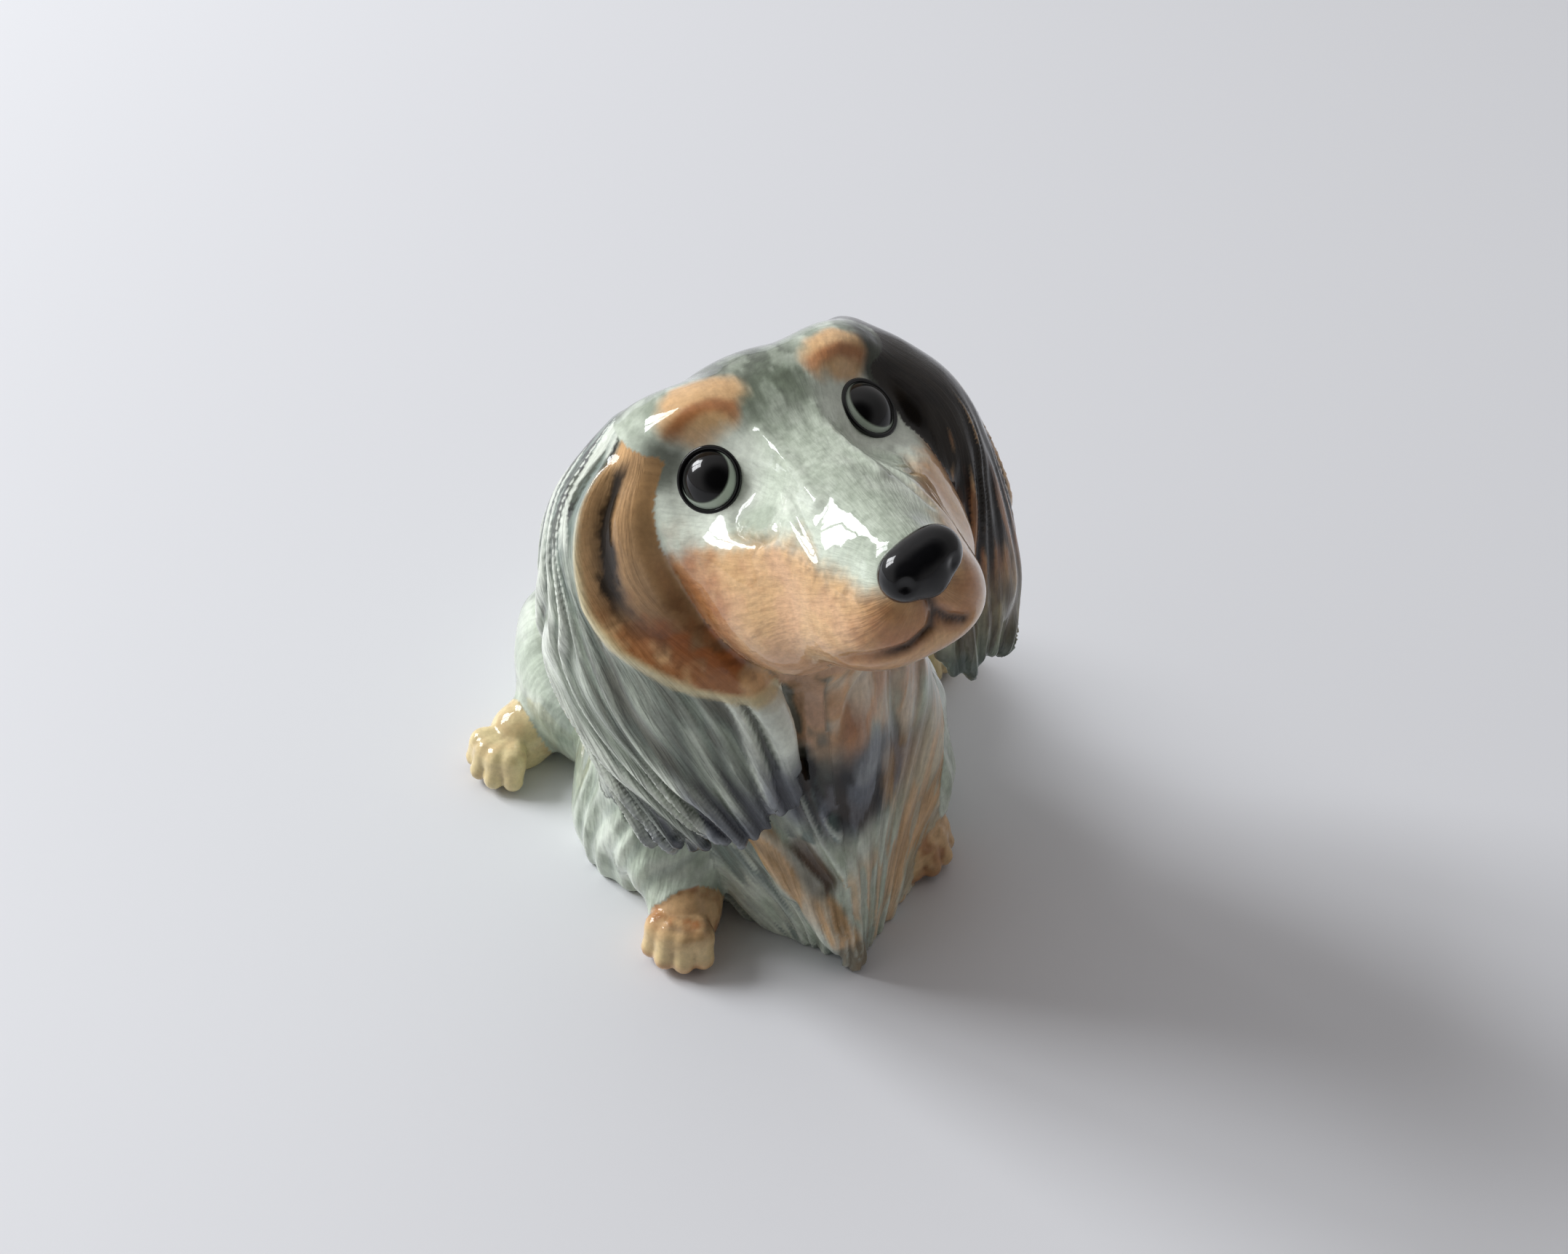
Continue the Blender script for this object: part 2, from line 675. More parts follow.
# Each piece is a list of shapes, and how far each one's join to the clay before it is rounded.
PARTS = {
    "torso": torso_shapes(),
    "neck": neck_shapes(),
    "chest_apron": chest_shapes(),
    "left_thigh": thigh_shapes("left"),
    "right_thigh": thigh_shapes("right"),
    "tail": tail_shapes(),
    "left_foreleg": foreleg_shapes("left"),
    "right_foreleg": foreleg_shapes("right"),
    "left_forepaw": paw_shapes("left_forepaw", 4.0, 30, (-0.8, 1.0, 0)),
    "right_forepaw": paw_shapes("right_forepaw", 4.0, 36),
    "left_hind_paw": paw_shapes("left_hind_paw", 4.4, 60),
    "right_hind_paw": paw_shapes("right_hind_paw", 4.4, 60),
    "head": head_shapes(),
    "lower_jaw": jaw_shapes(),
    "left_ear": [(LEFT_EAR, 0.9), (Ball(BODY, (9.0, 6.6, 41.0), (3.4, 4.4, 5.0)), 1.6)],
    "right_ear": [(RIGHT_EAR, 0.9), (Ball(BODY, (-8.8, 6.0, 38.4), (3.6, 4.6, 4.6)), 2.4),
                  (Limb(BODY, EAR_ROLL), 1.0)],
}


def build_clay():
    """All the pieces joined, and then the recess in the chest, the hollows round the eyes, the
    lids and the sockets."""
    margin = 2.0
    clay = Clay(from_metres(cad_box[0]) - margin, from_metres(cad_box[1]) + margin, CLAY_STEP)
    for shapes in PARTS.values():
        for shape, blend in shapes:
            clay.add(shape, blend)
    clay.carve(Limb(BODY, list(zip(CHEST_RECESS, (0.8, 0.9)))), 1.0)
    for side in SIDES.values():
        clay.carve(Ball(eye_place(side), (0, 0, 6.2), 5.3), 1.4)
        below_eye = mirrored(side, (5.6, -6.0, -0.6))
        clay.carve(Ball(HEAD, below_eye, (2.0, 4.4, 1.9), (0, 0, side * 12)), 1.6)
        clay.add(Ball(eye_place(side), (0, 0, 0), (3.4, 3.4, 1.5)), 0.7)
        clay.carve(Ball(eye_place(side), (0, 0, 0), EYE_RADIUS - 0.2), 0.1)
    clay.level_floor(0.5)
    return clay


# ---- hair and creases that are pressed into the clay ----
FURRY = ("torso", "left_thigh", "right_thigh", "tail", "left_foreleg", "right_foreleg")


def piece_of(points):
    """The name index of the piece that each point of the surface belongs to."""
    gaps = []
    for name, shapes in PARTS.items():
        gap = np.min([shape(points) for shape, _ in shapes], axis=0)
        gaps.append(gap - (0.25 if "ear" in name or "paw" in name else 0))
    return np.argmin(gaps, axis=0)


def line_gap(points, line):
    """Distance from points to a line of straight runs."""
    best = np.full(len(points), 1e3, np.float32)
    line = np.asarray(line, np.float32)
    for start, end in zip(line[:-1], line[1:]):
        run = end - start
        t = np.clip(((points - start) @ run) / (run @ run), 0, 1)
        best = np.minimum(best, np.linalg.norm(points - start - t[:, None] * run, axis=1))
    return best


def mouth_gap(head):
    """Distance across the face from the line below the nose and the mouth's two curves."""
    right_half = [(0, -7.2), (0.2, -8.4), (-0.2, -9.6), (-1.9, -10.3), (-3.5, -10.3), (-4.8, -10.5)]
    left_half = [(0.2, -8.4), (1.0, -9.5), (2.2, -10.3)]
    flat = head[:, [0, 2]]
    gap = np.minimum(line_gap(flat, right_half), line_gap(flat, left_half))
    return gap + 5 * fade(-6.0, -2.0, head[:, 1])


# The creases under an eye, and the fine ridge down the edge of the muzzle's bridge, for a head
# with its right half folded onto its left.
EYE_BAG = [(5.0, -2.6, -1.2), (6.2, -2.4, -2.5), (6.6, -3.5, -3.1), (6.2, -6.0, -3.6),
           (5.0, -7.6, -2.9), (4.4, -6.0, -1.5), (4.6, -4.0, -1.0), (5.0, -2.6, -1.2)]
LONG_CREASE = [(3.6, -3.6, -0.3), (3.4, -7.0, -1.3), (3.9, -10.0, -2.6), (4.4, -12.5, -4.0)]
BRIDGE_RIDGE = [(2.0, -1.6, 2.0), (1.9, -5.1, 0.2), (2.3, -10.1, -1.6)]


def folded(head):
    return head * np.where(head[:, :1] < 0, (-1, 1, 1), 1)


def crease_gap(head):
    return np.minimum(line_gap(folded(head), EYE_BAG), line_gap(folded(head), LONG_CREASE))


def chest_flow(points):
    """Across and along the chest's hair, which runs down and together towards the edge's foot."""
    edge = CHEST.at(points[:, 2])[0]
    offset = points[:, :2] - edge
    aside = np.linalg.norm(offset, axis=1) * np.sign(offset[:, 0])
    up = points[:, 2] + 7.0
    return np.arctan2(aside, up) * 13.0, np.hypot(aside, up)


def hair_depth(points, piece, names):
    """How far each point is pressed in (negative) or raised, in millimetres, and the direction
    of the hair at it: a number that counts across the strands, one along them, and how much."""
    x, y, z = points.T
    head = HEAD.local(points)
    depth = np.zeros(len(points), np.float32)
    is_piece = {name: piece == names.index(name) for name in names}
    flow = columns(np.arctan2(head[:, 2] + 6.0, head[:, 0]) * 6.0, head[:, 1] * 0.25, 0.22)
    for name in EARS:
        u, v, _ = EAR_PLACES[name]
        leaf = is_piece[name + "_ear"]
        past_band = fade(-0.02, 0.10, u - ear_band(v)) if name == "right" else 1
        fan = fade(0.9, 2.2, v) * past_band * (0.6 + 0.4 * fade(2.0, 3.4, v))
        depth += leaf * fan * 0.95 * (ear_locks(u, v) - 0.4)
        wavy = u * 13.0 + 0.6 * v + 0.4 * np.sin(2.6 * v + 5.0 * u)
        flow[leaf] = columns(wavy, v * 0.8, 0.25 + 0.75 * fan)[leaf]
        if name == "right":
            past = u - ear_band(v)
            rim = bell(past, 0.05) * fade(0.2, 0.6, v) * fade(3.0, 2.2, v)
            channel = bell(past + 0.14, 0.08) * fade(2.6, 1.8, v) * fade(0.3, 0.8, v)
            depth += leaf * (0.5 * rim - 0.6 * channel)
    across, along = chest_flow(points)
    chest = (is_piece["chest_apron"] | is_piece["neck"]) & (y < 2)
    depth += chest * 0.45 * (chest_locks(across, along) - 0.4)
    flow[chest] = columns(across, along * 0.13, 0.5)[chest]
    body = np.any([is_piece[name] for name in (*FURRY, "neck")], axis=0) & ~chest
    around = np.arctan2(x, -(y - 8.0)) * 8.0
    down = z * 0.10 + y * 0.05
    depth += body * 0.3 * (strands(around * 0.5, down, 29) - 0.4)
    flow[body] = columns(around, down, 0.4)[body]
    face = is_piece["head"] | is_piece["lower_jaw"]
    depth -= face * 0.5 * bell(mouth_gap(head), 0.4)
    depth -= face * 0.3 * bell(crease_gap(head), 0.35)
    depth += face * 0.35 * bell(line_gap(folded(head), BRIDGE_RIDGE), 0.5)
    return depth, flow


def ear_locks(u, v):
    """The strands of an ear's long hair, which sweep forward as they fall."""
    return strands(u * 10.5 + 0.5 * v + 0.3 * np.sin(2.6 * v + 5.0 * u), v * 1.1, 11)


def chest_locks(across, along):
    return strands(across * 0.6, along * 0.13, 23)


def ear_band(v):
    """How far across the right ear its smooth leather reaches before the long hair begins."""
    return np.interp(v, (0, 1, 2, 2.4, 2.8, 3.15), (0.30, 0.34, 0.34, 0.28, 0.14, -0.1))


# ---- paint ----
def tint(red, green, blue):
    """A colour given as on a screen, 0 to 255, as the light it reflects."""
    value = np.array([red, green, blue]) / 255
    return np.where(value <= 0.04045, value / 12.92, ((value + 0.055) / 1.055) ** 2.4)


CELADON = tint(200, 212, 192)
PALE = tint(236, 242, 228)
GREY_GREEN = tint(122, 134, 114)
FOREHEAD = tint(62, 68, 52)
TEAL = tint(92, 112, 108)
TAN = tint(228, 182, 128)
RUST = tint(160, 88, 36)
BROWN = tint(84, 50, 26)
BLACK = tint(6, 5, 4)
SLATE = tint(96, 100, 116)
MIST = tint(176, 182, 188)
PINK_TAN = tint(224, 176, 140)
CREAM = tint(236, 214, 160)
UMBER = tint(96, 74, 52)


class Paint:
    """Colours brushed one over another onto the surface points."""

    def __init__(self, count, ground):
        self.colour = np.tile(ground, (count, 1)).astype(np.float32)

    def on(self, region):
        """A brush that keeps to a region, for strokes of a strength from 0 to 1 at each point."""
        def brush(strength, colour):
            mask = np.clip(region * strength, 0, 1)[:, None]
            self.colour = self.colour * (1 - mask) + colour * mask

        return brush


def patch(local, centre, radii, soft=0.35, ragged=0.5):
    """1 inside an oval patch, fading to 0 over its soft edge, which ragged makes uneven."""
    distance = np.linalg.norm((local - centre) / radii, axis=1) + (ragged - 0.5) * 0.8
    return 1 - fade(1 - soft, 1 + soft, distance)


BROWS = {-1: ((-4.7, 1.7, 4.6), (3.2, 3.0, 2.5)), 1: ((5.7, 1.4, 4.2), (2.5, 2.5, 2.2))}


def paint_face(brush, head, noises):
    """Grey-green above, tan brows and sides, pink below, and the drawn line of the mouth."""
    soft, ragged, fine = noises
    hx, hy, hz = head.T
    streak = layered_noise(columns(hx * 0.9, hy * 0.3, hz * 0.5), 71)
    brush(0.4, PALE)
    crown = fade(0.0, 3.5, hz - 0.25 * np.abs(hx) + (ragged - 0.5) * 3) * fade(-4.5, 1.0, hy)
    brush(crown * (0.25 + 0.55 * fade(0.35, 0.65, streak)), GREY_GREEN)
    middle = fade(4.2, 2.0, np.abs(hx) + (streak - 0.5) * 3.0) * fade(-3.5, 1.0, hy)
    brush(middle * (0.5 + 0.45 * fade(0.4, 0.55, streak)), FOREHEAD)
    brush(middle * fade(0.42, 0.56, streak) * fade(0.5, 3.0, hy) * 0.6, BLACK)
    bridge = fade(3.4, 1.6, np.abs(hx) + (ragged - 0.5)) * fade(-7.5, -4.0, hz)
    brush(bridge * (0.35 + 0.25 * fade(0.35, 0.7, fine)), GREY_GREEN)
    sockets = fade(5.6, 3.4, np.linalg.norm(folded(head) - EYEBALL, axis=1))
    brush(sockets * 0.7, PALE)
    line = np.interp(hy, (-17.5, -14.0, -9.6, -3.3, 2.0), (-6.2, -5.1, -3.3, -3.8, -4.6))
    tan = fade(0.9, -0.9, hz - line + (ragged - 0.5) * 0.9 + (fine - 0.5) * 0.8)
    brush(tan * 0.94, TAN)
    brush(tan * 0.18 * fade(0.45, 0.75, fine), RUST)
    brush(tan * 0.5 * fade(0.4, 0.7, soft), PINK_TAN)
    edge_of_tan = bell(hz - line + 0.4, 0.9) * fade(0.4, 0.6, fine)
    brush(edge_of_tan * fade(-3.0, -9.0, hy) * 0.3, UMBER)
    brush(fade(-10.5, -12.5, hz) * 0.7, PINK_TAN)
    brush(patch(head, (8.8, 2.6, 1.6), (2.0, 3.8, 4.4), 0.35, ragged) * 0.92, BLACK)
    for side in SIDES.values():
        middle_of_brow, size_of_brow = BROWS[side]
        brow = patch(head, middle_of_brow, size_of_brow, 0.25, 0.5 + 0.6 * (streak - 0.5))
        brush(brow * 0.92, TAN)
        arch = np.abs(np.hypot(hx - side * 5.6, (hy - 1.4) * 0.9 + (hz - 1.0)) - 3.2)
        brush(brow * fade(1.3, 0.2, arch + 0.6 * (ragged - 0.5)) * 0.75, RUST)
        corner = patch(head, (side * 8.6, 2.6, 1.8), (1.6, 2.6, 2.0), 0.5, ragged)
        brush(corner * 0.7, FOREHEAD)
        lips = patch(head, (side * 2.6, -17.6, -8.4), (2.2, 2.0, 1.8), 0.6, ragged)
        brush(lips * 0.5, RUST)
        jowl = patch(head, (side * 9.6, 2.0, -7.5), (2.4, 5.0, 4.0), 0.5, ragged)
        brush(jowl * 0.7, RUST)
    brush(bell(crease_gap(head), 0.3) * 0.6, FOREHEAD)
    brush(patch(folded(head), (5.4, -4.8, -2.3), (1.4, 2.2, 1.5), 0.4, ragged) * 0.4, GREY_GREEN)
    mouth = mouth_gap(head)
    brush(bell(mouth, 0.9) * fade(-6.0, -13.0, hy) * 0.5, RUST)
    drawn = fade(-8.0, -13.0, hy) * fade(-4.6, -2.4, hx)
    brush(bell(mouth, 0.36) * drawn * 0.9, BLACK)
    brush(bell(mouth, 0.5) * fade(-13.0, -8.0, hy) * 0.6, BROWN)


def ear_hairs(u, v):
    return layered_noise(columns(u * 15, v * 1.4, 0), 51)


def paint_right_ear(brush, noises):
    soft, ragged, fine = noises
    u, v, _ = EAR_PLACES["right"]
    hairs = ear_hairs(u, v)
    past = u - ear_band(v)
    locks = ear_locks(u, v)
    hollow = fade(0.5, 0.1, locks)
    outer = fade(0.0, 0.06, past)
    brush(outer * 0.65, PALE)
    brush(outer * hollow * 0.8, GREY_GREEN)
    brush(outer * hollow * fade(0.45, 0.6, hairs) * 0.5, TEAL)
    brush(outer * hollow * fade(0.5, 0.7, hairs) * fade(1.6, 2.4, v) * 0.45, UMBER)
    top = fade(2.1, 0.9, v + (ragged - 0.5) * 1.4)
    brush(top * 0.65, TEAL)
    brush(top * fade(0.4, 0.55, hairs) * 0.9, FOREHEAD)
    brush(top * fade(0.4, 0.55, ragged) * fade(0.45, 0.55, hairs) * 0.8, BLACK)
    brush(outer * fade(0.35, 0.65, locks) * 0.85, PALE)
    band = fade(0.02, -0.03, past + 0.02 * (hairs - 0.5))
    brush(band * 0.95, TAN)
    low = fade(1.6, 2.4, v)
    brush(band * fade(-0.08, -0.2, past) * (0.35 + 0.4 * low), BROWN)
    brush(band * fade(0.42, 0.62, soft) * low * 0.75, RUST)
    brush(band * fade(0.55, 0.7, ragged) * low * 0.45, BROWN)
    dark = np.abs(past + 0.14 + (soft - 0.5) * 0.08 + (hairs - 0.5) * 0.05)
    dark_part = fade(0.1, 0.5, v) * fade(2.4, 1.8, v)
    brush(dark_part * fade(0.10, 0.05, dark) * 0.5, UMBER)
    brush(dark_part * fade(0.065, 0.03, dark + (fine - 0.5) * 0.03) * 0.92, BLACK)
    rim = fade(0.05, 0.02, np.abs(past - 0.01)) * fade(0.8, 1.8, v)
    brush(rim * 0.65, CREAM)
    fringe = outer * fade(3.5, 3.95, v + (hairs - 0.5) * 0.8 - 0.25 * (u - 0.3))
    brush(fringe * 0.85, SLATE)
    brush(outer * hollow * fade(3.1, 3.9, v) * 0.6, BLACK)
    brush(fringe * fade(0.5, 0.8, locks) * 0.6, MIST)


def paint_left_ear(brush):
    u, v, _ = EAR_PLACES["left"]
    hairs = ear_hairs(u, v)
    locks = ear_locks(u, v)
    strand = fade(0.35, 0.65, 0.5 * hairs + 0.5 * locks)
    brush(fade(3.7, 3.2, v + (hairs - 0.5) * 0.8) * 0.92, TAN)
    brush(fade(0.4, 0.1, locks) * 0.6, BROWN)
    brush(fade(0.5, 0.65, hairs) * fade(3.8, 3.0, v) * 0.6, RUST)
    olive = fade(2.7, 3.2, v + (hairs - 0.5) * 0.8)
    brush(olive * 0.7, GREY_GREEN)
    brush(olive * fade(0.45, 0.6, hairs) * 0.6, UMBER)
    black = fade(2.4, 1.7, v + (strand - 0.5) * 1.5 + 0.6 * (u - 0.3))
    brush(black * 0.98, BLACK)
    brush(fade(0.6, 0.7, hairs) * fade(0.9, 1.4, v) * fade(2.6, 2.0, v) * 0.5, BROWN)
    brush(fade(3.6, 3.95, v + (hairs - 0.5) * 0.4) * 0.7, TEAL)


def paint_chest(brush, points, ragged):
    x, _, z = points.T
    across, along = chest_flow(points)
    hair = layered_noise(columns(across * 1.3, along * 0.22, 0), 61)
    locks = chest_locks(across, along)
    throat = fade(17.0, 22.0, z + (hair - 0.5) * 8)
    brush(throat * 0.9, PINK_TAN)
    brush(throat * fade(0.42, 0.58, hair) * 0.5, TAN)
    brush(throat * fade(0.55, 0.7, hair) * 0.45, PALE)
    brush(throat * patch(points, (3.0, -7.6, 21.0), (1.6, 3.0, 3.5), 0.5, hair) * 0.6, RUST)
    brush(fade(19.0, 15.0, z) * fade(0.5, 0.65, hair) * 0.7, PALE)
    left_side = fade(0.2, 1.0, x + 0.55 * (z - 3.0) * (z < 12))
    collar = patch(points, (3.8, -8.0, 15.8), (6.8, 6.0, 3.7), 0.4, hair)
    brush(collar * 0.9, SLATE)
    brush(collar * 0.9 * fade(0.42, 0.54, hair), BLACK)
    brush(collar * fade(0.45, 0.7, locks) * 0.45, MIST)
    brush(patch(points, (-1.4, -7.6, 18.2), (1.6, 3.4, 2.6), 0.4, ragged), BLACK)
    side = fade(5.0, 8.0, x + (hair - 0.5) * 4) * fade(19.0, 14.0, z)
    brush(side * 0.45, TAN)
    brush(side * fade(0.45, 0.6, hair) * 0.6, TAN)
    lower = left_side * fade(11.0, 8.0, z)
    brush(lower * fade(0.42, 0.55, hair) * 0.6, TAN)
    tan_lock = [(-5.4, -6.6, 12.5), (-2.4, -9.6, 7.6), (0.0, -12.2, 4.0), (1.2, -13.0, 0.8)]
    lock_gap = line_gap(points, tan_lock)
    brush(fade(1.5, 0.9, lock_gap + (hair - 0.5)) * 0.85, TAN)
    recess = line_gap(points, np.array(CHEST_RECESS) + (0, 0.4, 0))
    brush(fade(1.7, 0.8, recess) * 0.9, BROWN)
    right_side = (1 - left_side) * fade(1.0, 1.8, lock_gap)
    brush(right_side * fade(0.48, 0.6, hair) * 0.75, TEAL)
    brush(patch(points, (0.8, -12.0, 1.2), (2.4, 2.4, 2.0), 0.4, ragged) * 0.7, TEAL)
    brush(fade(0.3, 0.02, locks) * 0.25, UMBER)
    brush(fade(0.55, 0.9, locks) * fade(19.0, 15.0, z) * 0.45, PALE)


def prominence(points, faces, normals):
    """How far each point stands out from its neighbourhood, or lies in a hollow (negative)."""
    return ((points - spread_out(points, faces, 16)) * normals).sum(axis=1)


def paint_coat(points, piece, names, depth, relief):
    """The colour of every point, from its piece and place, how far hair was pressed in at it, and
    how far it stands out."""
    x, y, z = points.T
    on = {name: (piece == names.index(name)).astype(np.float32) for name in names}
    noises = [layered_noise(points * scale, seed) for scale, seed in ((0.4, 31), (0.8, 41), (1.8, 37))]
    soft, ragged, _ = noises
    streak = layered_noise(columns(np.arctan2(x, -(y - 8.0)) * 9, z * 0.3, y * 0.1), 43)
    paint = Paint(len(points), CELADON)
    paint.on(1)(0.5 * fade(0.4, 0.7, soft), PALE)
    body = sum(on[name] for name in FURRY) + on["neck"] * fade(0.0, 4.0, y)
    brush_body = paint.on(body)
    brush_body(fade(0.5, 0.7, streak) * 0.5, GREY_GREEN)
    face = on["head"] + on["lower_jaw"]
    head = HEAD.local(points)
    paint_face(paint.on(face), head, noises)
    nape = face * fade(5.0, 9.0, head[:, 1] + (streak - 0.5) * 4)
    back = (body * fade(4.0, 9.0, y) + nape) * fade(10.0, 19.0, z + (streak - 0.5) * 8)
    brush_back = paint.on(back)
    brush_back(0.25 + 0.5 * fade(0.35, 0.65, streak), FOREHEAD)
    brush_back(fade(0.55, 0.68, streak) * fade(0.45, 0.6, soft) * 0.6, BLACK)
    paint_left_ear(paint.on(on["left_ear"]))
    paint_right_ear(paint.on(on["right_ear"]), noises)
    paint_chest(paint.on((on["chest_apron"] + on["neck"]) * fade(3.0, 0.0, y)), points, ragged)
    for name in names:
        if name.endswith("paw"):
            low, high = box_mm(name)
            centre = (low + high) / 2
            hind = "hind" in name
            toe = np.hypot(x - centre[0], y - centre[1]) / np.hypot(*(high - low)[:2] / 2)
            brush = paint.on(on[name])
            brush(0.9, CREAM if hind else TAN)
            brush(fade(0.62, 0.72, soft) * 0.5, UMBER)
            brush(fade(0.4, 0.7, ragged) * (0.25 if hind else 0.6), RUST)
            brush(fade(0.5, 0.8, toe) * fade(0.8, 2.0, z) * 0.8, CREAM)
            brush(fade(-0.02, -0.25, relief) * 0.85, BROWN)
            brush(fade(1.0, 0.2, z) * fade(0.4, 0.6, ragged) * 0.7, BROWN)
    brush_body(fade(-0.05, -0.16, depth) * 0.4, TEAL)
    smooth_leather = on["right_ear"] * (EAR_PLACES["right"][1] < 2.8)
    paint.on(face + smooth_leather)(fade(-0.08, -0.4, relief) * 0.6, UMBER)
    brush_body(fade(0.05, 0.2, depth) * 0.3, PALE)
    return paint.colour


# ---- dividing the lump into its pieces ----
def join_small_islands(labels, pairs, smallest):
    """Gives faces in small islands of one label to the label that surrounds them."""
    component = np.arange(len(labels))
    same = pairs[labels[pairs[:, 0]] == labels[pairs[:, 1]]]
    while True:
        lowest = np.minimum(component[same[:, 0]], component[same[:, 1]])
        before = component.copy()
        np.minimum.at(component, same[:, 0], lowest)
        np.minimum.at(component, same[:, 1], lowest)
        component = component[component[component]]
        if np.array_equal(before, component):
            break
    sizes = np.bincount(component, minlength=len(labels))[component]
    small = sizes < smallest
    while small.any():
        edge = pairs[small[pairs[:, 0]] != small[pairs[:, 1]]]
        if not len(edge):
            break
        inner = np.where(small[edge[:, 0]], edge[:, 0], edge[:, 1])
        outer = np.where(small[edge[:, 0]], edge[:, 1], edge[:, 0])
        labels[inner] = labels[outer]
        small[inner] = False
    return labels


def face_pairs(faces):
    """Pairs of faces that share an edge."""
    edges = np.sort(face_edges(faces), axis=1)
    owner = np.tile(np.arange(len(faces)), 4)
    key = edges[:, 0] * (faces.max() + 1) + edges[:, 1]
    order = np.argsort(key, kind="stable")
    same = key[order][1:] == key[order][:-1]
    return np.stack([owner[order][:-1][same], owner[order][1:][same]], 1)


def boundary_loops(faces):
    """The rings of points round the open edges of a set of faces."""
    starts = faces.ravel()
    ends = np.roll(faces, -1, axis=1).ravel()
    big = faces.max() + 1
    open_edge = ~np.isin(starts * big + ends, ends * big + starts)
    after = {}
    for start, end in zip(starts[open_edge], ends[open_edge]):
        after.setdefault(int(start), []).append(int(end))
    loops = []
    while after:
        start = next(iter(after))
        ring = [start]
        while ring[-1] in after:
            onward = after[ring[-1]].pop()
            if not after[ring[-1]]:
                del after[ring[-1]]
            if onward == start:
                break
            ring.append(onward)
        loops.append(ring)
    return loops


def new_piece(node, points, faces, colours, material, normals=None, flow=None):
    name = node + "_glazed"
    mesh = bpy.data.meshes.new(name)
    mesh.from_pydata(to_metres(points).tolist(), [], faces)
    mesh.validate()
    mesh.polygons.foreach_set("use_smooth", [True] * len(mesh.polygons))
    layer = mesh.color_attributes.new("paint", "FLOAT_COLOR", "POINT")
    rgba = np.ones((len(points), 4), np.float32)
    rgba[:, :3] = colours
    layer.data.foreach_set("color", rgba.ravel())
    if flow is not None:
        hair = mesh.attributes.new("hair", "FLOAT_VECTOR", "POINT")
        hair.data.foreach_set("vector", flow.astype(np.float32).ravel())
    if normals is not None:
        mesh.normals_split_custom_set_from_vertices(normals.tolist())
    mesh.materials.append(material)
    piece = bpy.data.objects.new(name, mesh)
    bpy.context.scene.collection.objects.link(piece)
    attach(piece, "root")
    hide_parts(node)


def closed_part(own_faces, points, normals, marks):
    """The faces of one piece, closed inside the clay with a wall and a lid at each open ring.
    The marks are numbers that go with each point, such as its colour."""
    used, compact = np.unique(own_faces, return_inverse=True)
    faces = compact.reshape(own_faces.shape)
    points, normals, marks = points[used], normals[used], marks[used]
    blocks = [(points, normals, marks)]
    all_faces = faces.tolist()
    count = len(used)
    for ring in boundary_loops(faces):
        inner = points[ring] - normals[ring] * WALL
        middle = inner.mean(axis=0)
        inner = inner + (middle - inner) * 0.05
        blocks.append((inner, normals[ring], marks[ring]))
        blocks.append((middle[None], np.array([[0.0, 0.0, 1.0]]), marks[ring[:1]]))
        for i in range(len(ring)):
            j = (i + 1) % len(ring)
            all_faces.append([ring[j], ring[i], count + i, count + j])
            all_faces.append([count + j, count + i, count + len(ring)])
        count += len(ring) + 1
    points, normals, marks = (np.concatenate(column) for column in zip(*blocks))
    return points, normals, marks, all_faces


# ---- materials ----
class Recipe:
    """The nodes of a material or a world. An input is a number, a colour or another's output."""

    def __init__(self, owner):
        owner.use_nodes = True
        self.nodes = owner.node_tree.nodes
        self.links = owner.node_tree.links

    def feed(self, node, inputs):
        for name, value in inputs.items():
            if isinstance(value, bpy.types.NodeSocket):
                self.links.new(value, node.inputs[name])
            else:
                node.inputs[name].default_value = value

    def add(self, kind, inputs, settings=()):
        """The outputs of a new node."""
        node = self.nodes.new(kind)
        for name, value in settings:
            setattr(node, name, value)
        self.feed(node, inputs)
        return node.outputs

    def attribute(self, name):
        return self.add("ShaderNodeAttribute", {}, [("attribute_name", name)])

    def noise(self, inputs):
        return self.add("ShaderNodeTexNoise", inputs)["Fac"]

    def map_range(self, value, low, high, first=0.0, last=1.0, interpolation="LINEAR"):
        """From low to high as the value goes from first to last."""
        span = {"Value": value, "From Min": first, "From Max": last, "To Min": low, "To Max": high}
        return self.add("ShaderNodeMapRange", span, [("interpolation_type", interpolation)])["Result"]

    def scaled(self, colour, scale):
        inputs = {"Vector": colour, "Scale": scale}
        return self.add("ShaderNodeVectorMath", inputs, [("operation", "SCALE")])["Vector"]


def fine_hair(recipe):
    """Fine hairs along the strands: a height from 0 to 1, and how much of it there is."""
    flow = recipe.add("ShaderNodeSeparateXYZ", {"Vector": recipe.attribute("hair")["Vector"]})
    course = recipe.add("ShaderNodeCombineXYZ", {"X": flow["X"], "Y": flow["Y"]})["Vector"]
    hairs = recipe.noise({"Vector": course, "Scale": 2.6, "Detail": 2.5})
    return recipe.map_range(hairs, 0.0, 1.0, 0.35, 0.65), flow["Z"]


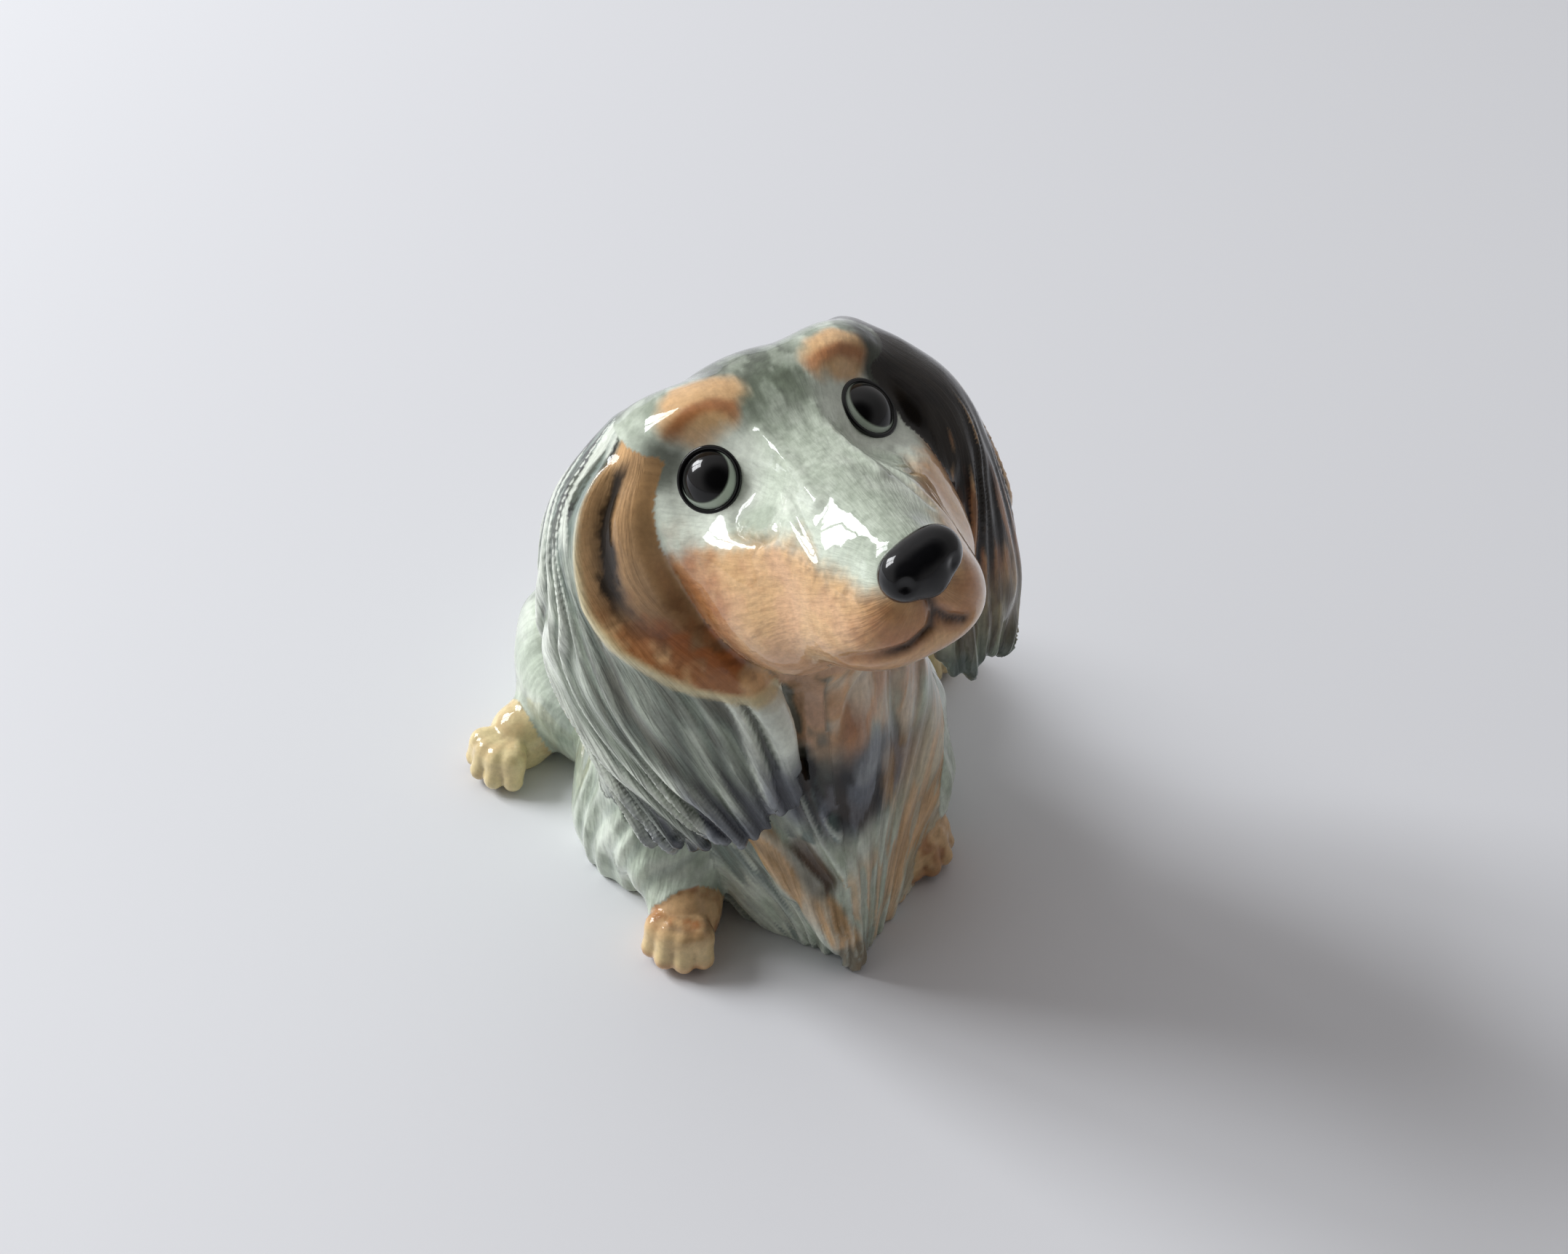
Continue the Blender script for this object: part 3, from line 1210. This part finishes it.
def glaze(name, roughness, mottle, ripple, hairy=False):
    """Painted clay under clear glaze: the brushed colours, mottled, with a rippled gloss."""
    material = bpy.data.materials.new(name)
    recipe = Recipe(material)
    place = recipe.add("ShaderNodeTexCoord", {})["Object"]
    speckle = recipe.noise({"Vector": place, "Scale": 2.2 / MM, "Detail": 6.0, "Roughness": 0.65})
    shade = recipe.map_range(speckle, 1 - mottle, 1 + mottle * 0.6, 0.3, 0.7)
    colour = recipe.scaled(recipe.attribute("paint")["Color"], shade)
    waves = recipe.noise({"Vector": place, "Scale": 0.35 / MM, "Detail": 2.0})
    wavy = {"Strength": ripple, "Distance": 0.4 * MM, "Height": waves}
    gloss_normal = recipe.add("ShaderNodeBump", wavy)["Normal"]
    normal = gloss_normal
    if hairy:
        height, amount = fine_hair(recipe)
        lines = recipe.scaled(colour, recipe.map_range(height, 0.66, 1.16))
        painted = {"Factor": amount, "A": colour, "B": lines}
        colour = recipe.add("ShaderNodeMix", painted, [("data_type", "RGBA")])["Result"]
        relief = {"Distance": 0.2 * MM, "Strength": amount, "Height": height, "Normal": gloss_normal}
        normal = recipe.add("ShaderNodeBump", relief)["Normal"]
    recipe.feed(recipe.nodes["Principled BSDF"], {
        "Base Color": colour,
        "Roughness": recipe.map_range(speckle, roughness, roughness + 0.2),
        "IOR": 1.5,
        "Specular IOR Level": 0.05,
        "Normal": normal,
        "Coat Weight": 1.0,
        "Coat Roughness": 0.035,
        "Coat IOR": 1.42,
        "Coat Normal": gloss_normal,
    })
    return material


# ---- making the pieces ----
def make_nose():
    reach = 4.6
    centre = HEAD.world(NOSE_PAD)
    clay = Clay(centre - reach, centre + reach, NOSE_STEP)
    for shape, blend in nose_shapes():
        clay.add(shape, blend)
    for side in SIDES.values():
        nostril = NOSE_PAD + (side * 1.75, -1.55, -0.9)
        clay.carve(Ball(HEAD, nostril, (0.42, 0.7, 0.5)), 0.5)
    points, faces = surface_net(clay)
    points = relaxed(points, faces, 4)
    material = glaze("glazed_nose", 0.2, 0.2, 0.35)
    new_piece("nose", points, faces.tolist(), tint(13, 13, 16), material)


def make_eye(name, side, material):
    """An eyeball, its rings of points round the pupil's axis so that the circles are crisp, and
    a dark line round it where it meets its socket."""
    socket = eye_place(side)
    gaze = socket.moved((0, 0, 0), (-11 if side < 0 else -3, side * 6, 0))
    black = tint(4, 4, 5)
    pale = tint(188, 200, 186)
    pupil_edge = 48                 # all in degrees from the middle of the pupil
    iris_edge = pupil_edge + 1.5
    rings = [8, 16, 24, 32, 40, pupil_edge - 1, pupil_edge, iris_edge,
             52, 57, 64, 72, 85, 100, 120, 140, 160]
    line_radius = 2.22              # of the dark line, its thickness and how far out it lies
    line_thickness = 0.2
    line_out = 1.36
    around = 96
    turns = [2 * math.pi * i / around for i in range(around)]
    points = []
    colours = []
    faces = []
    for ring in rings:
        angle = math.radians(ring)
        for turn in turns:
            spot = (math.sin(angle) * math.cos(turn), math.sin(angle) * math.sin(turn), math.cos(angle))
            points.append(gaze.world(np.array(spot) * EYE_RADIUS))
        shade = black if ring <= pupil_edge else tint(96, 104, 92) if ring == iris_edge else pale
        colours += [shade] * around
    front = len(points)
    rear = front + 1
    last = front - around
    points += [gaze.world((0, 0, EYE_RADIUS)), gaze.world((0, 0, -EYE_RADIUS))]
    colours += [black, pale]
    for i in range(around):
        j = (i + 1) % around
        faces.append([front, i, j])
        faces.append([last + i, rear, last + j])
        for a in range(0, last, around):
            faces.append([a + i, a + around + i, a + around + j, a + j])
    start = len(points)
    tube = 12
    for turn in turns:
        for k in range(tube):
            bend = 2 * math.pi * k / tube
            out = line_radius + line_thickness * math.cos(bend)
            up = line_out + line_thickness * math.sin(bend)
            points.append(socket.world((out * math.cos(turn), out * math.sin(turn), up)))
            colours.append(black)
    for i in range(around):
        for k in range(tube):
            a = start + i * tube
            b = start + (i + 1) % around * tube
            m = (k + 1) % tube
            faces.append([a + k, b + k, b + m, a + m])
    new_piece(name, np.array(points), faces, np.array(colours), material)


def make_body():
    """The pieces that share one surface."""
    points, faces = surface_net(build_clay())
    points = relaxed(points, faces, 3)
    names = list(PARTS)
    for name, ear in EARS.items():
        EAR_PLACES[name] = ear.place_of(points)
    piece = piece_of(points)
    depth, flow = hair_depth(points, piece, names)
    depth = spread_out(depth, faces, 1)
    points = points + surface_normals(points, faces) * depth[:, None]
    points[:, 2] = np.maximum(points[:, 2], 0)
    normals = surface_normals(points, faces)
    colours = paint_coat(points, piece, names, depth, prominence(points, faces, normals))
    labels = np.array([np.bincount(row).argmax() for row in piece[faces]])
    pairs = face_pairs(faces)
    for _ in range(3):              # joining one island can leave another behind
        labels = join_small_islands(labels, pairs, SMALLEST_ISLAND)
    material = glaze("glazed_body", 0.28, 0.14, 0.25, hairy=True)
    marks = np.hstack([colours, flow])
    for i, name in enumerate(names):
        spots, ways, own_marks, sides = closed_part(faces[labels == i], points, normals, marks)
        paint, hair = own_marks[:, :3], own_marks[:, 3:]
        new_piece(name, spots, sides, paint, material, ways, hair)


make_body()
make_nose()
eye_glaze = glaze("glazed_eye", 0.15, 0.04, 0.05)
for side_name, side_sign in SIDES.items():
    make_eye(side_name + "_eye", side_sign, eye_glaze)


# ---- the floor, the light and the camera ----
FLOOR_REACH = 3.0                               # metres from the middle to each edge
WINDOW_AT = Vector((-0.64, 0.62, 0.58))         # metres from the figurine: to its right, behind it
PANE_SIZE = (0.22, 0.26)
PANE_POWER = 2.8
WINDOW_WAY = (-0.6, 0.5, 0.62)                  # the brighter side of the room
DARK_WAY = (-0.22, -0.68, 0.7)                  # its darker part, high up in front
CAMERA_FROM_HEAD = Vector((-34.137, -92.583, 71.705))     # millimetres
CAMERA_AZIMUTH = math.radians(-20)
CAMERA_ELEVATION = math.radians(42)


def lay_floor():
    material = bpy.data.materials.new("pale_floor")
    recipe = Recipe(material)
    paper = {"Base Color": (*tint(228, 229, 233), 1), "Roughness": 0.6}
    recipe.feed(recipe.nodes["Principled BSDF"], paper)
    mesh = bpy.data.meshes.new("floor")
    corners = np.array([(-1, -1, 0), (1, -1, 0), (1, 1, 0), (-1, 1, 0)]) * FLOOR_REACH
    corners[:, 2] = cad_box[0][2]
    mesh.from_pydata(corners.tolist(), [], [(0, 1, 2, 3)])
    mesh.materials.append(material)
    floor = bpy.data.objects.new("floor", mesh)
    bpy.context.scene.collection.objects.link(floor)


def window_pane(place, target):
    light = bpy.data.lights.new("window_pane", "AREA")
    light.shape = "RECTANGLE"
    light.size, light.size_y = PANE_SIZE
    light.energy = PANE_POWER
    light.color = (0.96, 0.98, 1.0)
    lamp = bpy.data.objects.new("window_pane", light)
    lamp.location = place
    lamp.rotation_euler = (target - place).to_track_quat("-Z", "Y").to_euler()
    bpy.context.scene.collection.objects.link(lamp)


def light_room():
    """A pale room, brighter on the window's side and dark high up in front, so that the glaze
    has something dark to mirror."""
    world = bpy.data.worlds.new("room")
    bpy.context.scene.world = world
    recipe = Recipe(world)
    way = recipe.add("ShaderNodeTexCoord", {})["Generated"]

    def shade_towards(direction, first, last, low, high):
        """A strength that changes from low to high as a way turns to face the direction."""
        across = {0: way, 1: Vector(direction).normalized()}
        towards = recipe.add("ShaderNodeVectorMath", across, [("operation", "DOT_PRODUCT")])
        return recipe.map_range(towards["Value"], low, high, first, last, "SMOOTHSTEP")

    room = shade_towards(WINDOW_WAY, -0.4, 1.0, 0.34, 0.62)
    dark = shade_towards(DARK_WAY, 0.5, 0.92, 1.0, 0.1)
    strength = recipe.add("ShaderNodeMath", {0: room, 1: dark}, [("operation", "MULTIPLY")])["Value"]
    recipe.feed(recipe.nodes["Background"], {"Color": (1.0, 0.98, 0.98, 1), "Strength": strength})


def place_camera():
    lens = bpy.data.cameras.new("camera")
    lens.sensor_width = 36.0
    lens.lens = 40.07
    lens.clip_start = 0.01
    camera = bpy.data.objects.new("camera", lens)
    level = math.cos(CAMERA_ELEVATION)
    back = Vector((math.sin(CAMERA_AZIMUTH) * level, -math.cos(CAMERA_AZIMUTH) * level,
                   math.sin(CAMERA_ELEVATION)))
    camera.rotation_euler = back.to_track_quat("Z", "Y").to_euler()
    camera.location = Vector(to_metres(HEAD.origin)) + CAMERA_FROM_HEAD * MM
    bpy.context.scene.collection.objects.link(camera)
    bpy.context.scene.camera = camera


lay_floor()
middle = (cad_box[0] + cad_box[1]) / 2
for column in (-1, 1):
    for row in (-1, 1):
        pane = Vector((column * 0.084, column * 0.09, row * 0.144))
        window_pane(middle + (WINDOW_AT + pane), middle)
light_room()
bpy.context.scene.view_settings.view_transform = "Standard"
place_camera()
